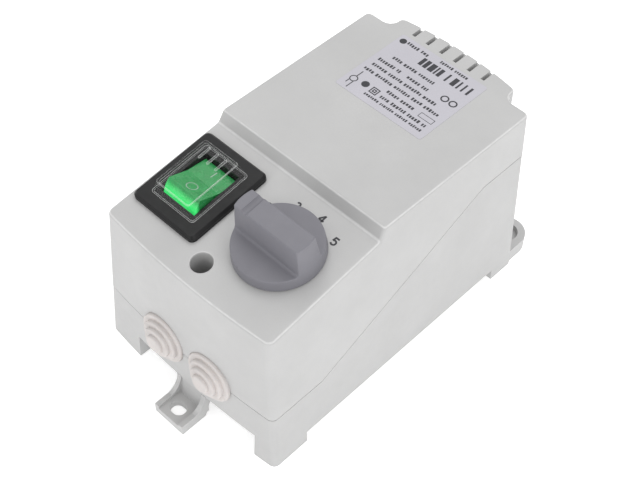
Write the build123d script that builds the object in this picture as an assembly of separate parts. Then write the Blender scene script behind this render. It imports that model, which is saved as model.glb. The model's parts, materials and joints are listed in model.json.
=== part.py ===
from build123d import *
import math
import os

os.makedirs("parts", exist_ok=True)

# Five-step autotransformer speed controller in a two-part moulded case.
# Frame: X across the case, Y along it (cable entries at -Y), Z up out of the
# mounting plane. Origin: middle of the footprint, on the plane of the feet.

# The drawing's Y is measured from a zero beside the middle; the shift to the
# middle of the footprint comes at the very end.
MIDDLE_Y = 1.5

# ---- case: overall form ----
WALL = 2.6                 # wall thickness of both mouldings
SIDE_HALF = 50.1           # half width at the reference height
REF_Z = 86.0               # height of the near top edge, the reference height
SIDE_DRAFT = 0.063         # side wall slope, mm per mm of height
END_Y = -84.2              # near end face, on the centre line at REF_Z
END_DRAFT = 0.045          # near end slope, mm per mm of height
END_R = 494.0              # plan radius of the bowed near end
FAR_Y = 93.3               # far end face on the centre line
FAR_R = 205.0              # plan radius of the bowed far end
SHELF_Y = 82.2             # side walls stop here, at the corner notches
BLOCK_HALF = 34.8          # half width of the far end block between the notches
BLOCK_CORNER_Y = 90.2      # where the block's side meets its bowed end
NOTCH_R = 5.0              # inside corner of the notch
BLOCK_R = 3.0              # outside corner of the block
CORNER_R = 3.4             # near vertical corners
EDGE_R = 1.6               # top edges of the cover
PANEL_SLOPE = 0.1311       # rise of the control panel toward +Y
PANEL_END_Y = -17.1        # foot of the step up to the raised top
STEP_Y = -13.8             # head of the step
TOP_Z_NEAR = 101.0         # raised top at the step
TOP_Z_FAR = 99.5           # raised top at the far end
SEAM_LOW_Z = 34.1          # parting line at the near end
SEAM_HIGH_Z = 75.0         # parting line at the far end
SEAM_RISE_Y = (-54.0, 52.0)
COVER_LIP = 0.1            # the cover stands this much proud of the base
SEAM_GAP = 0.55
BASE_INNER = WALL + COVER_LIP
TONGUE_X = (-18.0, 18.0)   # catches of the cover in the base's far wall

# ---- base ----
FLOOR_Z = 6.6              # underside of the floor between the feet
FLOOR_T = 3.0
ENTRY_FLOOR_Z = 15.0       # underside of the floor below the cable entries
ENTRY_FLOOR_Y = -74.0      # that raised floor ends here
NEAR_FOOT_Y = -64.7
FAR_FOOT_Y = 65.7
LEFT_FOOT_X = -32.7        # inner edge of the near left foot
RIGHT_FOOT_X = 43.5        # inner edge of the near right foot
FAR_FOOT_X = 32.6          # inner edge of the far feet

# ---- fixing lugs ----
LUG_X = 4.2
LUG_HALF = 9.2
LUG_TIP_Y = -102.3
LUG_T = 4.2
LUG_RIM = 1.8              # height of the rims on both sides of the lug
LUG_SLOT = (3.5, -95.8)    # centre of the slotted hole
LUG_SLOT_W = 6.8
LUG_SLOT_L = 8.2
GUSSET_T = 2.4
EYE_X = 44.6
EYE_Y = 89.5
EYE_R = 9.8
EYE_T = 8.0
EYE_HOLE_R = 2.9
EYE_SINK_R = 6.0
EYE_SINK_DEPTH = 3.6

# ---- vents, notches and label on the raised top ----
VENT_X0 = -1.2
VENT_PITCH = 8.4
VENT_COUNT = 6
VENT_W = 2.1
VENT_INNER_Y = 84.0
VENT_DEPTH = 5.5           # at the inner end of the grooves
VENT_END_DEPTH = 1.6       # at the end face
VENT_FIN_R = 2.4
VENT_FIN_OVER = 0.6        # the fins are drawn this far past the bowed end
LABEL_SIZE = (51.5, 47.0)
LABEL_AT = (-0.4, 58.0)
LABEL_T = 0.12

# ---- cover screw ----
SCREW_AT = (0.3, -72.8)
WELL_R = 5.0
WELL_WALL = 1.6
WELL_BOTTOM_Z = 50.0
WELL_FLOOR_T = 3.0
SCREW_R = 2.0

# ---- cable grommets ----
GROMMET_X = (-13.3, 16.5)
GROMMET_Z = SEAM_LOW_Z
GROMMET_STEPS = ((12.9, 1.8), (10.3, 3.7), (7.6, 5.5), (4.8, 7.1))
GROMMET_NECK_R = 11.3
GROMMET_SKIN = 1.1
SEAT_T = 2.0               # wall left between the two flanges

# ---- rocker switch, local axes: x across, y up the panel, z out of it ----
SWITCH_AT = (-28.2, -46.9)
BEZEL = (38.4, 45.6)
BEZEL_H = 3.2
BEZEL_RIM = 1.9            # height of the upright sides
BEZEL_SLOPE = 1.1          # inset of the sloped edge
BEZEL_R = 2.8
BODY = (26.0, 33.0)
BODY_DEPTH = 24.0
BODY_WALL = 1.8
ROCKER_TOP_W = 19.6
ROCKER_W = 20.7            # width at the foot of the flared sides
ROCKER_END_R = 12.7        # end faces are arcs about the pivot
ROCKER_EDGE = 31.5         # angle of the top edges above level, from the pivot
ROCKER_DIP = 1.5           # depth of the V in the top face
ROCKER_PIVOT_Z = -2.5
ROCKER_TILT = 19.5         # degrees each side of level
OPENING = (21.5, 26.6)     # opening of the bezel
PIVOT_R = 1.5
CAP_FOOT = (26.6, 33.4)
CAP_TOP = (20.8, 29.8)
CAP_TOP_Z = 11.0
CAP_SKIN = 0.8
CAP_R = 1.7

# ---- selector, local axes at the knob's centre: z out of the panel ----
KNOB_AT = (20.5, -47.4)
KNOB_R = 20.5
KNOB_TOP_R = 18.8
KNOB_H = 21.0
DISC_H = 5.8
BAR_HALF = 6.6              # half width of the bar at its foot
BAR_TOP_HALF = 5.3
BAR_GROOVE_X = -12.2        # hollow groove that marks the pointer end
BAR_GROOVE_R = 1.9
BAR_GROOVE_DEPTH = 1.2
KNOB_LIFT = 0.5
SHAFT_R = 3.0
SHAFT_FIT = 0.04
BUSH_R = 5.0
ROTOR_R = 11.0
SELECTOR_R = 16.0
SELECTOR_DEPTH = 18.0
STEP_ANGLE = 32.0          # between neighbouring positions
STEP_COUNT = 5

# ---- transformer ----
CORE = (84.0, 70.0, 42.0)
CORE_Y = 39.0
CORE_Z0 = 26.0
LIMB = 14.0
WINDOW_Y = 42.0
COIL_OVER = 12.6           # coil height above the stack
FLANGE_T = 2.0
CORE_HOLE_X = 37.0
CORE_HOLE_Y = 30.0
CORE_SCREW_R = 1.9
POST_R = 5.0

# ---- terminal block ----
BLOCK_POLES = 6
POLE_PITCH = 9.0
BLOCK_Y = -54.0
BLOCK_X0 = -10.0
BLOCK_D = 17.0
BLOCK_H = 18.0

LEAD_R = 0.9               # insulated leads


def side_half(z, inset=0.0):
    return SIDE_HALF + SIDE_DRAFT * (REF_Z - z) - inset


def panel_z(y):
    return REF_Z + PANEL_SLOPE * (y - END_Y)


PANEL_TILT = math.atan(PANEL_SLOPE)
PANEL_NORMAL = (0, -math.sin(PANEL_TILT), math.cos(PANEL_TILT))


def panel_plane(at):
    return Plane(origin=(at[0], at[1], panel_z(at[1])), x_dir=(1, 0, 0), z_dir=PANEL_NORMAL)


SWITCH_PLANE = panel_plane(SWITCH_AT)
KNOB_PLANE = panel_plane(KNOB_AT)


def seat_plane(x):
    # Plane of a grommet's seat: normal to the drafted near end face.
    bow = END_R - math.sqrt(END_R**2 - x**2)
    y = END_Y + bow - END_DRAFT * (REF_Z - GROMMET_Z)
    return Plane(origin=(x, y, GROMMET_Z), x_dir=(1, 0, 0), z_dir=(0, -1, END_DRAFT))


def prism_x(points):
    # Closed outline in Y and Z, drawn right across the case.
    return extrude(Plane.YZ * make_face(Polyline(*points, close=True)), 80, both=True)


def plate(x0, x1, y0, y1, z0, z1):
    return Pos((x0 + x1) / 2, (y0 + y1) / 2, (z0 + z1) / 2) * Box(x1 - x0, y1 - y0, z1 - z0)


def rod(x, y, z0, z1, r):
    return Pos(x, y, (z0 + z1) / 2) * Cylinder(r, z1 - z0)


def local_rod(r, z0, z1, x=0.0, y=0.0):
    return Pos(x, y, (z0 + z1) / 2) * Cylinder(r, z1 - z0)


def local_box(w, d, z0, z1, x=0.0, y=0.0):
    return Pos(x, y, (z0 + z1) / 2) * Box(w, d, z1 - z0)


# ---- case envelope ----

def plan_outline(inset):
    # Far end with its two corner notches; the sides and near end are cut by
    # the drafted faces.
    wide = 70.0
    half = BLOCK_HALF - inset
    shelf = SHELF_Y - inset
    corner = BLOCK_CORNER_Y - inset
    far = FAR_Y - inset
    edges = [
        Line((-wide, -110), (wide, -110)),
        Line((wide, -110), (wide, shelf)),
        Line((wide, shelf), (half, shelf)),
        Line((half, shelf), (half, corner)),
        ThreePointArc((half, corner), (0, far), (-half, corner)),
        Line((-half, corner), (-half, shelf)),
        Line((-half, shelf), (-wide, shelf)),
        Line((-wide, shelf), (-wide, -110)),
    ]
    face = make_face(edges)
    inner = [v for v in face.vertices() if abs(abs(v.X) - half) < 0.1 and abs(v.Y - shelf) < 0.1]
    face = fillet(inner, NOTCH_R + inset * 0.4)
    outer = [v for v in face.vertices() if abs(abs(v.X) - half) < 0.1 and abs(v.Y - corner) < 0.1]
    return fillet(outer, max(BLOCK_R - inset * 0.6, 0.5))


def envelope(inset, bottom):
    # The solid inside the case's outer faces, moved in by the inset.
    low, high = -5.0, 120.0
    sides = Polyline(
        (-side_half(low, inset), low), (side_half(low, inset), low),
        (side_half(high, inset), high), (-side_half(high, inset), high), close=True)
    side_prism = extrude(Plane.XZ * make_face(sides), 130, both=True)
    plan_prism = extrude(plan_outline(inset), 120)
    tilt = math.degrees(math.atan(END_DRAFT))
    end_cut = (Pos(0, END_Y + END_R, REF_Z) * Rot(-tilt, 0, 0)
               * Cylinder(END_R - inset, 260))
    drop = inset * math.sqrt(1 + PANEL_SLOPE**2)
    lean = inset * 0.9
    profile = prism_x([
        (-110, bottom), (110, bottom), (110, TOP_Z_FAR - inset),
        (STEP_Y + lean, TOP_Z_NEAR - inset),
        (PANEL_END_Y + lean, panel_z(PANEL_END_Y + lean) - drop),
        (-110, panel_z(-110) - drop)])
    return side_prism & plan_prism & end_cut & profile


def upright_edges(body, near):
    # Corner edges of the envelope that run up the case.
    found = []
    for e in body.edges():
        box = e.bounding_box()
        tall = box.size.Z > 20
        y = e.center().Y
        wide = abs(e.center().X) > BLOCK_HALF + 4
        if tall and wide and ((near and y < -70) or (not near and y > 70)):
            found.append(e)
    return found


def rounded_envelope(inset, bottom, near_r, far_r):
    body = envelope(inset, bottom)
    body = fillet(upright_edges(body, True), near_r)
    return fillet(upright_edges(body, False), far_r)


def seam_points(shift):
    y0, y1 = SEAM_RISE_Y
    return [(-120, SEAM_LOW_Z + shift), (y0, SEAM_LOW_Z + shift),
            (y1, SEAM_HIGH_Z + shift), (120, SEAM_HIGH_Z + shift)]


def below_seam(shift):
    return prism_x(seam_points(shift) + [(120, -20), (-120, -20)])


def above_seam(shift):
    return prism_x(seam_points(shift) + [(120, 140), (-120, 140)])


def seal_ring(outer, inner, z0, z1):
    # A band that follows the parting line between two insets of the case.
    ring = rounded_envelope(outer, -5.0, CORNER_R, 3.0) - envelope(inner, -6.0)
    return ring & above_seam(z0) & below_seam(z1)


def grommet_seats(hole_r, flange_r):
    # What a grommet takes out of the wall: its neck and a flat seat each side.
    cuts = []
    for x in GROMMET_X:
        p = seat_plane(x)
        cuts.append(p * local_rod(hole_r, -12, 12))
        cuts.append(p * local_rod(flange_r, 0, 12))
        cuts.append(p * local_rod(flange_r, -9, -SEAT_T))
    return cuts


# ---- base ----

def near_lug():
    # A slotted pad on a leaning web, between two gussets with hollow-curved tops.
    x0, x1 = LUG_X - LUG_HALF, LUG_X + LUG_HALF
    top = ENTRY_FLOOR_Z + FLOOR_T
    front = -86.9                 # where the web meets the case
    pad = prism_x([(LUG_TIP_Y, 0), (-88.2, 0), (-82.5, ENTRY_FLOOR_Z), (-81.0, top - 1), (front + 2, top - 1),
                   (front, ENTRY_FLOOR_Z + 0.5), (-88.9, LUG_T), (LUG_TIP_Y, LUG_T)])
    pad = pad & plate(x0, x1, -110, -70, -1, 30)
    arc = [
        Line((-86, LUG_T - 2), (LUG_TIP_Y, LUG_T - 2)),
        Line((LUG_TIP_Y, LUG_T - 2), (LUG_TIP_Y, LUG_T + LUG_RIM)),
        Line((LUG_TIP_Y, LUG_T + LUG_RIM), (-94.0, LUG_T + LUG_RIM)),
        ThreePointArc((-94.0, LUG_T + LUG_RIM), (-90.1, 8.8), (-88.0, ENTRY_FLOOR_Z + 0.2)),
        Line((-88.0, ENTRY_FLOOR_Z + 0.2), (-86, ENTRY_FLOOR_Z + 0.8)),
        Line((-86, ENTRY_FLOOR_Z + 0.8), (-86, LUG_T - 2)),
    ]
    gusset = extrude(Plane.YZ * make_face(arc), GUSSET_T)
    lug = pad + Pos(x0, 0, 0) * gusset + Pos(x1 - GUSSET_T, 0, 0) * gusset
    slot = Pos(LUG_SLOT[0], LUG_SLOT[1]) * extrude(
        SlotOverall(LUG_SLOT_L, LUG_SLOT_W), 20, both=True)
    return lug - slot


def far_eye(sign):
    x = sign * EYE_X
    pad = rod(x, EYE_Y, 0, EYE_T, EYE_R)
    inner, outer = sign * (BLOCK_HALF - 2), sign * (EYE_X + EYE_R)
    neck = plate(min(inner, outer), max(inner, outer), SHELF_Y - 6, EYE_Y, 0, EYE_T)
    eye = pad + neck
    eye -= rod(x, EYE_Y, -1, EYE_T + 1, EYE_HOLE_R)
    return eye - rod(x, EYE_Y, EYE_T - EYE_SINK_DEPTH, EYE_T + 1, EYE_SINK_R)


def foot_blocks():
    # Four feet; each is hollow from below.
    top = FLOOR_Z + 1
    spans = [
        (-60, LEFT_FOOT_X, -95, NEAR_FOOT_Y), (RIGHT_FOOT_X, 60, -95, NEAR_FOOT_Y),
        (-60, -FAR_FOOT_X, FAR_FOOT_Y, SHELF_Y + 1), (FAR_FOOT_X, 60, FAR_FOOT_Y, SHELF_Y + 1)]
    solid = [plate(x0, x1, y0, y1, -1, top) for x0, x1, y0, y1 in spans]
    return solid[0] + solid[1:]


def foot_pockets():
    rim = 3.0
    pockets = []
    for x0, x1, y0, y1 in (
            (-51.5, LEFT_FOOT_X - rim, -81, NEAR_FOOT_Y - rim),
            (RIGHT_FOOT_X + rim, 51.5, -81, NEAR_FOOT_Y - rim),
            (-51.5, -FAR_FOOT_X - rim, FAR_FOOT_Y + rim, SHELF_Y - 4),
            (FAR_FOOT_X + rim, 51.5, FAR_FOOT_Y + rim, SHELF_Y - 4)):
        pockets.append(plate(x0, x1, y0, y1, -1, FLOOR_Z - 1))
    return pockets


def make_base():
    outer = rounded_envelope(COVER_LIP, -1.0, CORNER_R, 3.0) & below_seam(0)
    underside = plate(-70, 70, -120, 120, -2, FLOOR_Z) - foot_blocks()
    entry_gap = plate(LEFT_FOOT_X, RIGHT_FOOT_X, -120, ENTRY_FLOOR_Y, -2, ENTRY_FLOOR_Z)
    body = outer - underside - entry_gap
    body = body & plate(-70, 70, -120, 120, 0, 130)
    cavity = envelope(BASE_INNER, FLOOR_Z + FLOOR_T)
    raised_floor = plate(LEFT_FOOT_X - 3, RIGHT_FOOT_X + 3, -120, ENTRY_FLOOR_Y + 3,
                         0, ENTRY_FLOOR_Z + FLOOR_T)
    body -= cavity - raised_floor
    body -= foot_pockets()
    body += near_lug()
    body += far_eye(1)
    body += far_eye(-1)
    body -= seal_ring(0.9, 2.1, -1.2, 5)
    body -= grommet_seats(GROMMET_NECK_R + 0.1, GROMMET_STEPS[0][0] + 0.15)
    body += rod(*SCREW_AT, ENTRY_FLOOR_Z - 6, WELL_BOTTOM_Z - WELL_FLOOR_T - 0.2, 4.6)
    body -= rod(*SCREW_AT, 30, WELL_BOTTOM_Z, SCREW_R)
    for sx in (-1, 1):
        for sy in (-1, 1):
            x, y = sx * CORE_HOLE_X, CORE_Y + sy * CORE_HOLE_Y
            body += rod(x, y, FLOOR_Z + 1, CORE_Z0, POST_R)
            body -= rod(x, y, CORE_Z0 - 12, CORE_Z0 + 1, CORE_SCREW_R + 0.05)
    for x in block_screw_x():
        body += rod(x, BLOCK_Y, FLOOR_Z + 1, FLOOR_Z + FLOOR_T + 3, 3.4)
        body -= rod(x, BLOCK_Y, FLOOR_Z + 2, FLOOR_Z + FLOOR_T + 4, 1.5)
    for x in TONGUE_X:
        # Blind pocket in the far wall for the cover's catch.
        body -= plate(x - 6.3, x + 6.3, 80, 100, 66.8, 69.2) & envelope(BASE_INNER - 1.0, -8.0)
    return body


# ---- cover ----

def vent_x(i):
    return VENT_X0 + (i - VENT_COUNT / 2) * VENT_PITCH


def vent_block():
    # Solid strip inside the far wall that the grooves are cut into.
    half = VENT_COUNT * VENT_PITCH / 2 + 1.5
    strip = plate(VENT_X0 - half, VENT_X0 + half, VENT_INNER_Y - WALL, 100,
                  TOP_Z_FAR - VENT_DEPTH - WALL, TOP_Z_FAR - 1)
    return strip & envelope(1.0, -8.0)


def vent_fins():
    # Plan of what stands between the grooves, with rounded outer corners.
    fins = []
    for i in range(VENT_COUNT + 1):
        x0 = vent_x(i) - VENT_PITCH / 2 + VENT_W / 2
        x1 = vent_x(i) + VENT_PITCH / 2 - VENT_W / 2
        bow = FAR_R - math.sqrt(FAR_R**2 - vent_x(i)**2)
        fin = Pos((x0 + x1) / 2, 85) * Rectangle(x1 - x0, 2 * (FAR_Y - bow + VENT_FIN_OVER - 85))
        fins.append(fillet(fin.vertices().group_by(Axis.Y)[-1], VENT_FIN_R))
    return fins


def vent_grooves():
    x0, x1 = vent_x(0), vent_x(VENT_COUNT)
    y0, y1 = VENT_INNER_Y, FAR_Y + 3
    plan = Pos((x0 + x1) / 2, (y0 + y1) / 2) * Rectangle(x1 - x0, y1 - y0)
    plan = plan - vent_fins()
    top = TOP_Z_FAR + 6
    above_floor = Plane.YZ * make_face(Polyline(
        (y0, TOP_Z_FAR - VENT_DEPTH), (FAR_Y, TOP_Z_FAR - VENT_END_DEPTH),
        (y1, TOP_Z_FAR - VENT_END_DEPTH), (y1, top), (y0, top), close=True))
    column = Pos(0, 0, TOP_Z_FAR - VENT_DEPTH - 1) * extrude(plan, VENT_DEPTH + 7)
    return column & extrude(above_floor, SIDE_HALF, both=True)


def make_cover():
    outer = rounded_envelope(0.0, -5.0, CORNER_R + COVER_LIP, 3.0 + COVER_LIP) & above_seam(SEAM_GAP)
    tops = [e for e in outer.edges() if e.center().Z > 80 and e.bounding_box().min.Z > 78]
    step_foot = [e for e in tops if abs(e.center().Y - PANEL_END_Y) < 1 and e.bounding_box().size.X > 60]
    outer = fillet(step_foot, 2.2)
    tops = [e for e in outer.edges()
            if e.bounding_box().min.Z > REF_Z - 4 and not is_foot_of_step(e) and not upright(e)]
    outer = fillet(tops, EDGE_R)
    body = outer - envelope(WALL, -10.0)
    body += vent_block()
    body -= vent_grooves()
    body -= grommet_seats(GROMMET_NECK_R + 0.1, GROMMET_STEPS[0][0] + 0.15)
    x, y = SCREW_AT
    well = rod(x, y, WELL_BOTTOM_Z - WELL_FLOOR_T, panel_z(y) - 1.0, WELL_R + WELL_WALL)
    body += well
    body -= rod(x, y, WELL_BOTTOM_Z, panel_z(y) + 5, WELL_R)
    body -= rod(x, y, 40, WELL_BOTTOM_Z + 1, SCREW_R + 0.2)
    body -= SWITCH_PLANE * local_box(BODY[0] + 0.3, BODY[1] + 0.3, -8, 8)
    body -= KNOB_PLANE * local_rod(BUSH_R + 0.1, -8, 8)
    for x in TONGUE_X:
        body += far_tongue(x)
    rim = [e for e in body.edges().filter_by(GeomType.ELLIPSE)
           if abs(e.center().Y - SCREW_AT[1]) < 1 and e.center().Z > 80]
    rim = [e for e in rim if e.bounding_box().size.X > 2 * WELL_R - 0.2 and
           e.bounding_box().size.X < 2 * WELL_R + 0.2]
    if rim:
        body = fillet(rim, 0.8)
    return body


def far_tongue(x):
    # Locating tongue that drops inside the base's far wall, with a catch nib.
    core = envelope(BASE_INNER + 2.2, -9.0)
    tongue = (plate(x - 6, x + 6, 80, 100, 66, SEAM_HIGH_Z + 4) & envelope(BASE_INNER + 0.3, -8.0)) - core
    bridge_z = SEAM_HIGH_Z + 1.5
    bridge = (plate(x - 6, x + 6, 80, 100, bridge_z, bridge_z + 2.5) & envelope(1.5, -8.0)) - core
    nib = (plate(x - 5, x + 5, 80, 100, 67.2, 68.8) & envelope(BASE_INNER - 0.6, -8.0)) - core
    return tongue + bridge + nib


def upright(e):
    size = e.bounding_box().size
    return size.Z > 4 and size.X < 2 and size.Y < 2


def is_foot_of_step(e):
    box = e.bounding_box()
    return (box.size.X > 2 and box.min.Y > PANEL_END_Y - 4 and box.max.Y < PANEL_END_Y + 2.4
            and box.max.Z < TOP_Z_NEAR - 1.5)


def make_seal():
    ring = seal_ring(1.0, 2.0, -1.15, SEAM_GAP - 0.02)
    for x in GROMMET_X:
        ring -= seat_plane(x) * local_rod(GROMMET_STEPS[0][0] + 0.4, -12, 12)
    return ring.solids().sort_by(SortBy.VOLUME)[-1]


def make_cover_screw():
    x, y = SCREW_AT
    head = rod(x, y, WELL_BOTTOM_Z, WELL_BOTTOM_Z + 2.8, 3.8)
    head = fillet(head.edges().sort_by(Axis.Z)[-1], 1.0)
    shank = rod(x, y, 31, WELL_BOTTOM_Z, SCREW_R - 0.05)
    cross = Pos(x, y, WELL_BOTTOM_Z + 2.4) * (Box(4.4, 0.9, 2.4) + Box(0.9, 4.4, 2.4))
    return head + shank - cross


def make_grommet(x):
    # Stepped membrane nipple: flange, neck in the wall, flange, four steps.
    body = local_rod(GROMMET_STEPS[0][0], -SEAT_T - 1.6, -SEAT_T - 0.02)
    body += local_rod(GROMMET_NECK_R, -SEAT_T - 0.1, 0.1)
    z0 = 0.02
    for r, z1 in GROMMET_STEPS:
        ring = local_rod(r, z0, z1)
        ring = fillet(ring.edges().sort_by(Axis.Z)[-1], 1.0)
        body += ring
        z0 = z1 - 0.05
    z0 = -SEAT_T - 3
    for r, z1 in GROMMET_STEPS:
        body -= local_rod(min(r, GROMMET_NECK_R) - GROMMET_SKIN, z0, z1 - GROMMET_SKIN)
    return seat_plane(x) * body


# ---- rocker switch ----

def make_switch_frame():
    w, d = BEZEL[0] - 2 * BEZEL_SLOPE, BEZEL[1] - 2 * BEZEL_SLOPE
    foot = extrude(RectangleRounded(*BEZEL, BEZEL_R), BEZEL_RIM)
    slope = loft([Pos(0, 0, BEZEL_RIM) * RectangleRounded(*BEZEL, BEZEL_R),
                  Pos(0, 0, BEZEL_H) * RectangleRounded(w, d, BEZEL_R - BEZEL_SLOPE)])
    body = foot + slope + local_box(*BODY, -BODY_DEPTH, 0.1)
    body -= local_box(*OPENING, -4, BEZEL_H + 1)
    body -= local_box(BODY[0] - 2 * BODY_WALL, BODY[1] - 2 * BODY_WALL, -BODY_DEPTH + BODY_WALL, -3.9)
    pivot = Pos(0, 0, ROCKER_PIVOT_Z) * Rot(0, 90, 0) * Cylinder(PIVOT_R + 0.05, BODY[0] - 2)
    body -= pivot
    for x, y in switch_tab_points():
        body -= local_box(6.4, 0.9, -BODY_DEPTH - 1, -BODY_DEPTH + BODY_WALL + 1, x, y)
    # Snap wings that grip the panel from below.
    for s in (-1, 1):
        wing = Pos(0, s * BODY[1] / 2, -WALL - 0.2) * local_box(10, 1.6, -5, 0)
        body += wing
    return SWITCH_PLANE * body


def switch_tab_points():
    return [(0, -11), (0, 0), (0, 11)]


def make_switch_tabs():
    tabs = []
    for x, y in switch_tab_points():
        tab = local_box(6.3, 0.8, -BODY_DEPTH - 9, -BODY_DEPTH + 5, x, y)
        tab -= Pos(x, y, -BODY_DEPTH - 5.5) * Rot(90, 0, 0) * Cylinder(0.9, 3)
        tabs.append(SWITCH_PLANE * tab)
    return Compound(children=tabs)


def from_pivot(angle):
    a = math.radians(angle)
    return (ROCKER_END_R * math.cos(a), ROCKER_END_R * math.sin(a))


def make_rocker():
    # Shallow V on top, ends that are arcs about the trunnions, flared sides.
    y, z = from_pivot(ROCKER_EDGE)
    ym, zm = from_pivot(ROCKER_EDGE / 2 - 6)
    yb, zb = from_pivot(-12)
    outline = [
        Line((-y, z), (0, z - ROCKER_DIP)), Line((0, z - ROCKER_DIP), (y, z)),
        ThreePointArc((y, z), (ym, zm), (yb, zb)),
        Line((yb, zb), (8, -4.5)), Line((8, -4.5), (-8, -4.5)), Line((-8, -4.5), (-yb, zb)),
        ThreePointArc((-yb, zb), (-ym, zm), (-y, z))]
    wedge = extrude(Plane.YZ * make_face(outline), 15, both=True)
    low, high = ROCKER_W / 2, ROCKER_TOP_W / 2
    flare = Polyline((-low, -4.6), (low, -4.6), (high, z), (high, z + 2), (-high, z + 2), (-high, z),
                     close=True)
    wedge = wedge & extrude(Plane.XZ * make_face(flare), 20, both=True)
    edges = [e for e in wedge.edges() if e.bounding_box().min.Z > z - 0.1]
    wedge = fillet(edges, 0.7)
    keel = prism_x([(-5, -4), (5, -4), (2, -9), (-2, -9)]) & Box(6, 20, 30)
    pin = Rot(0, 90, 0) * Cylinder(PIVOT_R, ROCKER_W + 2.7)
    slope = math.degrees(math.atan(ROCKER_DIP / y))
    mark_z = z - ROCKER_DIP * (1 - 6.4 / y)
    ring = Pos(0, -6.4, mark_z) * Rot(-slope, 0, 0) * (Cylinder(2.8, 0.9) - Cylinder(2.3, 0.9))
    bar = Pos(0, 6.4, mark_z) * Rot(slope, 0, 0) * Box(0.6, 4.2, 0.9)
    body = wedge + keel + pin - ring - bar
    return SWITCH_PLANE * Pos(0, 0, ROCKER_PIVOT_Z) * Rot(-ROCKER_TILT, 0, 0) * body


def make_splash_cover():
    # Clear flexible cap over the rocker: sloped walls, three ribs on the roof.
    z0 = BEZEL_H + 0.02
    shell = loft([Pos(0, 0, z0) * RectangleRounded(*CAP_FOOT, CAP_R),
                  Pos(0, 0, CAP_TOP_Z) * RectangleRounded(*CAP_TOP, CAP_R)])
    shell = fillet(shell.faces().sort_by(Axis.Z)[-1].edges(), 0.8)
    t = 2 * CAP_SKIN
    inner_r = CAP_R - 0.6
    mouth = RectangleRounded(CAP_FOOT[0] - t, CAP_FOOT[1] - t, inner_r)
    ceiling = RectangleRounded(CAP_TOP[0] - t, CAP_TOP[1] - t, inner_r)
    hollow = loft([Pos(0, 0, z0 - 0.1) * mouth, Pos(0, 0, CAP_TOP_Z - CAP_SKIN) * ceiling])
    body = shell - hollow
    for x in (-5.2, 0, 5.2):
        body += Pos(x, 9.2, CAP_TOP_Z - 0.2) * extrude(Rot(0, 0, 90) * SlotOverall(7.0, 0.9), 0.65)
    return SWITCH_PLANE * body


def make_lamp():
    bulb = Pos(0, 0, -14) * Rot(90, 0, 0) * Cylinder(2.2, 9)
    ends = [e for e in bulb.edges().filter_by(GeomType.CIRCLE)]
    bulb = fillet(ends, 1.2)
    return SWITCH_PLANE * Pos(-7.5, 0, 0) * bulb


# ---- selector ----

def make_knob():
    # Tapered disc and a full-width drafted bar; the pointer end faces -X at position 1.
    cone = Pos(0, 0, KNOB_H / 2) * Cone(KNOB_R, KNOB_TOP_R, KNOB_H)
    far = 40.0
    for s in (-1, 1):
        beside = Plane.YZ * make_face(Polyline(
            (s * BAR_HALF, DISC_H), (s * far, DISC_H), (s * far, far), (s * BAR_TOP_HALF, far),
            (s * BAR_TOP_HALF, KNOB_H), close=True))
        cone -= extrude(beside, far, both=True)
    cone = fillet(cone.faces().sort_by(Axis.Z)[-1].edges(), 0.6)
    foot = [e for e in cone.edges().filter_by(GeomType.LINE)
            if abs(e.center().Z - DISC_H) < 0.1 and abs(abs(e.center().Y) - BAR_HALF) < 0.3]
    cone = fillet(foot, 1.4)
    rim = [e for e in cone.edges().filter_by(GeomType.CIRCLE)
           if abs(e.center().Z - DISC_H) < 0.2 and e.radius > BAR_HALF]
    cone = fillet(rim, 0.6)
    groove_z = KNOB_H - BAR_GROOVE_DEPTH + BAR_GROOVE_R
    cone -= Pos(BAR_GROOVE_X, 0, groove_z) * Rot(90, 0, 0) * Cylinder(BAR_GROOVE_R, 2 * KNOB_R)
    cone -= local_rod(KNOB_R - 2.6, -1, 3.4)
    cone -= local_rod(5.2, -1, 12.5)
    return KNOB_PLANE * Pos(0, 0, KNOB_LIFT) * cone


def make_knob_insert():
    # Brass sleeve pressed in the knob, with the flat that drives the shaft.
    sleeve = local_rod(5.2, 4.6, 12.5)
    bore = local_rod(SHAFT_R, 4, 12) - local_box(10, 10, 3, 13, 0, SHAFT_R - 1.0 + 5)
    return KNOB_PLANE * Pos(0, 0, KNOB_LIFT) * (sleeve - bore)


def make_shaft():
    body = local_rod(SHAFT_R, -SELECTOR_DEPTH + 1, 12.4)
    flat = local_box(10, 10, 5.1, 13, 0, SHAFT_R - 1.0 + 5)
    return KNOB_PLANE * (body - flat)


def make_rotor():
    body = local_rod(ROTOR_R, -15.5, -7.5) - local_rod(SHAFT_R, -16, -7)
    ring = [e for e in body.edges().filter_by(GeomType.CIRCLE) if e.radius > 5]
    return KNOB_PLANE * fillet(ring, 0.8)


def make_wiper():
    # Spring contact under the rotor, reaching from the centre ring to one contact.
    arm = local_box(9.2, 3.4, -16.1, -15.5, -7.8, 0)
    pad = local_rod(1.7, -16.5, -15.5, -11.6, 0)
    return KNOB_PLANE * (arm + pad)


def make_selector_body():
    shell = local_rod(SELECTOR_R, -SELECTOR_DEPTH - WALL, -WALL - 0.1)
    bush = local_rod(BUSH_R, -WALL - 0.2, 3.4)
    cavity = local_rod(SELECTOR_R - 2.2, -SELECTOR_DEPTH - WALL + 2.6, -6.6)
    body = shell + bush - cavity
    body -= local_rod(SHAFT_R + SHAFT_FIT, -8, 4)
    for x, y in contact_points():
        body -= local_box(1.0, 3.2, -SELECTOR_DEPTH - WALL - 1, -SELECTOR_DEPTH - WALL + 3, x, y)
    return KNOB_PLANE * body


def contact_points():
    # Five tap contacts at the pointer's five angles, then the common on the far side.
    pts = []
    for i in range(STEP_COUNT):
        a = math.radians(180 - STEP_ANGLE * i)
        pts.append((11.6 * math.cos(a), 11.6 * math.sin(a)))
    pts.append((0.0, -9.5))
    return pts


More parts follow.
